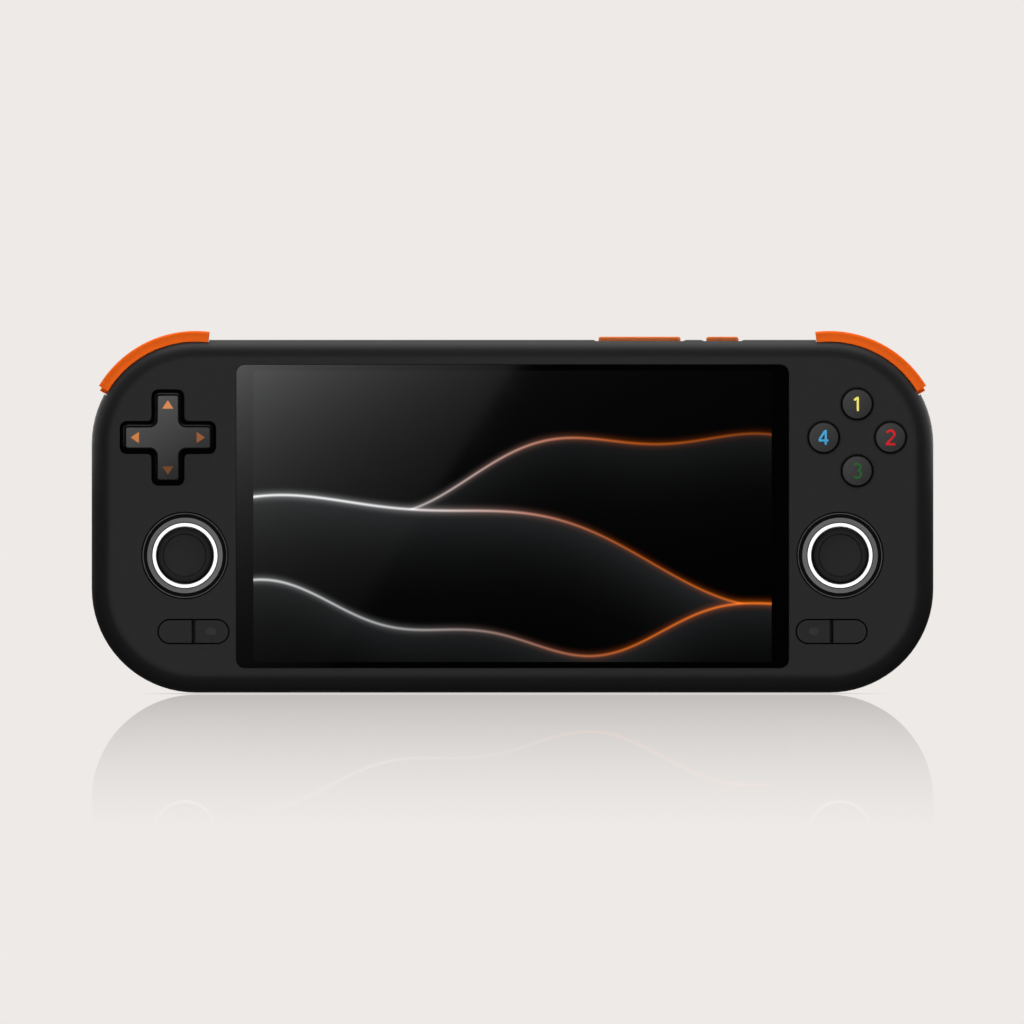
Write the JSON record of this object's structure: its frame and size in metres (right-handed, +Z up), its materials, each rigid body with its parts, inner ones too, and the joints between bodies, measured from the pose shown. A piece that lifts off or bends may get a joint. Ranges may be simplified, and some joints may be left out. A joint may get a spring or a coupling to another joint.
{
  "type": "handheld game console",
  "caption": "Slim handheld game console with a wide screen, direction pad, round buttons, lit thumb sticks, hinged shoulder buttons and triggers, a volume bar and rounded grips behind.",
  "frame": {"origin": "middle of the lower edge that it stands on, halfway through the whole depth", "axes": "+X to the right as seen from the screen side, +Y from the screen to the back, +Z up"},
  "size_m": [0.198, 0.0252, 0.0851],
  "materials": {
    "shell": "fine satin, dark charcoal",
    "glass": "polished, black printed border",
    "panel": "lit display",
    "pad": "satin grey with orange arrows",
    "button": "satin dark grey with coloured figures",
    "menu": "satin charcoal",
    "orange": "satin orange",
    "key": "satin burnt orange",
    "stick_rubber": "matt black, dished",
    "ring": "frosted light guide",
    "stem": "natural",
    "steel": "bright",
    "dark_screw": "blackened",
    "frame_metal": "stamped",
    "board": "solder mask",
    "copper": "bare copper",
    "dark_plastic": "black",
    "membrane": "silicone",
    "cell": "foil wrap"
  },
  "bodies": {
    "casing": {"front_shell": "shell", "rear_shell": "shell", "cover_glass": "glass", "display_panel": "panel", "mid_frame": "frame_metal", "rear_screws": "dark_screw", "edge_screws": "dark_screw", "inner_screws": "steel", "main_board": "board", "chip_shield": "frame_metal", "heat_pipe": "copper", "heat_sink": "frame_metal", "fan_housing": "dark_plastic", "battery": "cell", "port_board": "board", "usb_port": "steel", "headphone_jack": "dark_plastic", "card_slot": "steel", "left_speaker": "dark_plastic", "right_speaker": "dark_plastic", "left_button_board": "board", "right_button_board": "board", "top_switch_board": "board", "left_shoulder_board": "board", "right_shoulder_board": "board", "dpad_membrane": "membrane", "face_button_membrane": "membrane", "shoulder_pins": "steel", "left_trigger_spring": "steel", "right_trigger_spring": "steel", "left_stick_housing": "frame_metal", "right_stick_housing": "frame_metal", "left_light_ring": "ring", "right_light_ring": "ring"},
    "dpad_pivot": {"dpad_pivot": "steel"},
    "dpad": {"dpad": "pad"},
    "fan": {"fan_impeller": "dark_plastic"},
    "face_button_top": {"face_button_top": "button"},
    "face_button_left": {"face_button_left": "button"},
    "face_button_right": {"face_button_right": "button"},
    "face_button_bottom": {"face_button_bottom": "button"},
    "left_menu_outer": {"left_menu_outer": "menu"},
    "left_menu_inner": {"left_menu_inner": "menu"},
    "right_menu_inner": {"right_menu_inner": "menu"},
    "right_menu_outer": {"right_menu_outer": "menu"},
    "volume_rocker": {"volume_rocker": "key"},
    "power_button": {"power_button": "key"},
    "left_bumper": {"left_bumper": "orange"},
    "left_trigger": {"left_trigger": "orange"},
    "left_yoke": {"left_stick_yoke": "stem"},
    "left_block": {"left_stick_block": "dark_plastic"},
    "left_stick": {"left_stick_stem": "stem", "left_stick_cap": "stick_rubber"},
    "right_bumper": {"right_bumper": "orange"},
    "right_trigger": {"right_trigger": "orange"},
    "right_yoke": {"right_stick_yoke": "stem"},
    "right_block": {"right_stick_block": "dark_plastic"},
    "right_stick": {"right_stick_stem": "stem", "right_stick_cap": "stick_rubber"}
  },
  "joints": [
    {"name": "dpad_up_down", "type": "hinge", "parent": "casing", "child": "dpad_pivot", "pos_m": [-0.08099, -0.00395, 0.06001], "axis": [1, 0, 0], "range_deg": [-3.5, 3.5], "stiffness_Nm_per_rad": 0.16, "deforming": ["dpad_membrane"]},
    {"name": "dpad_left_right", "type": "hinge", "parent": "dpad_pivot", "child": "dpad", "pos_m": [-0.08099, -0.00395, 0.06001], "axis": [0, 0, 1], "range_deg": [-3.5, 3.5], "stiffness_Nm_per_rad": 0.16, "deforming": ["dpad_membrane"]},
    {"name": "face_button_top_press", "type": "slide", "parent": "casing", "child": "face_button_top", "axis": [0, 1, 0], "range_m": [0, 0.0012], "stiffness_N_per_m": 400, "deforming": ["face_button_membrane"]},
    {"name": "face_button_left_press", "type": "slide", "parent": "casing", "child": "face_button_left", "axis": [0, 1, 0], "range_m": [0, 0.0012], "stiffness_N_per_m": 400, "deforming": ["face_button_membrane"]},
    {"name": "face_button_right_press", "type": "slide", "parent": "casing", "child": "face_button_right", "axis": [0, 1, 0], "range_m": [0, 0.0012], "stiffness_N_per_m": 400, "deforming": ["face_button_membrane"]},
    {"name": "face_button_bottom_press", "type": "slide", "parent": "casing", "child": "face_button_bottom", "axis": [0, 1, 0], "range_m": [0, 0.0012], "stiffness_N_per_m": 400, "deforming": ["face_button_membrane"]},
    {"name": "left_menu_outer_press", "type": "slide", "parent": "casing", "child": "left_menu_outer", "axis": [0, 1, 0], "range_m": [0, 0.0004], "stiffness_N_per_m": 2000},
    {"name": "left_menu_inner_press", "type": "slide", "parent": "casing", "child": "left_menu_inner", "axis": [0, 1, 0], "range_m": [0, 0.0004], "stiffness_N_per_m": 2000},
    {"name": "right_menu_inner_press", "type": "slide", "parent": "casing", "child": "right_menu_inner", "axis": [0, 1, 0], "range_m": [0, 0.0004], "stiffness_N_per_m": 2000},
    {"name": "right_menu_outer_press", "type": "slide", "parent": "casing", "child": "right_menu_outer", "axis": [0, 1, 0], "range_m": [0, 0.0004], "stiffness_N_per_m": 2000},
    {"name": "volume_rock", "type": "hinge", "parent": "casing", "child": "volume_rocker", "pos_m": [0.0299, 0.00055, 0.0791], "axis": [0, 1, 0], "range_deg": [-2, 2], "stiffness_Nm_per_rad": 0.45},
    {"name": "power_press", "type": "slide", "parent": "casing", "child": "power_button", "axis": [0, 0, -1], "range_m": [0, 0.0004], "stiffness_N_per_m": 2000},
    {"name": "left_bumper_press", "type": "hinge", "parent": "casing", "child": "left_bumper", "pos_m": [-0.0645, -0.00065, 0.0772], "axis": [0, -1, 0], "range_deg": [0, 2.2], "stiffness_Nm_per_rad": 0.8},
    {"name": "left_trigger_pull", "type": "hinge", "parent": "casing", "child": "left_trigger", "pos_m": [-0.0645, 0.00455, 0.0772], "axis": [0, -1, 0], "range_deg": [0, 8], "stiffness_Nm_per_rad": 0.2, "deforming": ["left_trigger_spring"]},
    {"name": "left_stick_up_down", "type": "hinge", "parent": "casing", "child": "left_yoke", "pos_m": [-0.07701, -0.00115, 0.03229], "axis": [1, 0, 0], "range_deg": [-16, 16], "stiffness_Nm_per_rad": 0.02},
    {"name": "left_stick_left_right", "type": "hinge", "parent": "left_yoke", "child": "left_block", "pos_m": [-0.07701, -0.00115, 0.03229], "axis": [0, 0, 1], "range_deg": [-16, 16], "stiffness_Nm_per_rad": 0.02},
    {"name": "left_stick_click", "type": "slide", "parent": "left_block", "child": "left_stick", "axis": [0, 1, 0], "range_m": [0, 0.0004], "stiffness_N_per_m": 5000},
    {"name": "right_bumper_press", "type": "hinge", "parent": "casing", "child": "right_bumper", "pos_m": [0.0645, -0.00065, 0.0772], "axis": [0, 1, 0], "range_deg": [0, 2.2], "stiffness_Nm_per_rad": 0.8},
    {"name": "right_trigger_pull", "type": "hinge", "parent": "casing", "child": "right_trigger", "pos_m": [0.0645, 0.00455, 0.0772], "axis": [0, 1, 0], "range_deg": [0, 8], "stiffness_Nm_per_rad": 0.2, "deforming": ["right_trigger_spring"]},
    {"name": "right_stick_up_down", "type": "hinge", "parent": "casing", "child": "right_yoke", "pos_m": [0.07701, -0.00115, 0.03229], "axis": [1, 0, 0], "range_deg": [-16, 16], "stiffness_Nm_per_rad": 0.02},
    {"name": "right_stick_left_right", "type": "hinge", "parent": "right_yoke", "child": "right_block", "pos_m": [0.07701, -0.00115, 0.03229], "axis": [0, 0, 1], "range_deg": [-16, 16], "stiffness_Nm_per_rad": 0.02},
    {"name": "right_stick_click", "type": "slide", "parent": "right_block", "child": "right_stick", "axis": [0, 1, 0], "range_m": [0, 0.0004], "stiffness_N_per_m": 5000},
    {"name": "fan_spin", "type": "hinge", "parent": "casing", "child": "fan", "pos_m": [0.002, 0.00205, 0.0533], "axis": [0, 1, 0], "continuous": true}
  ]
}
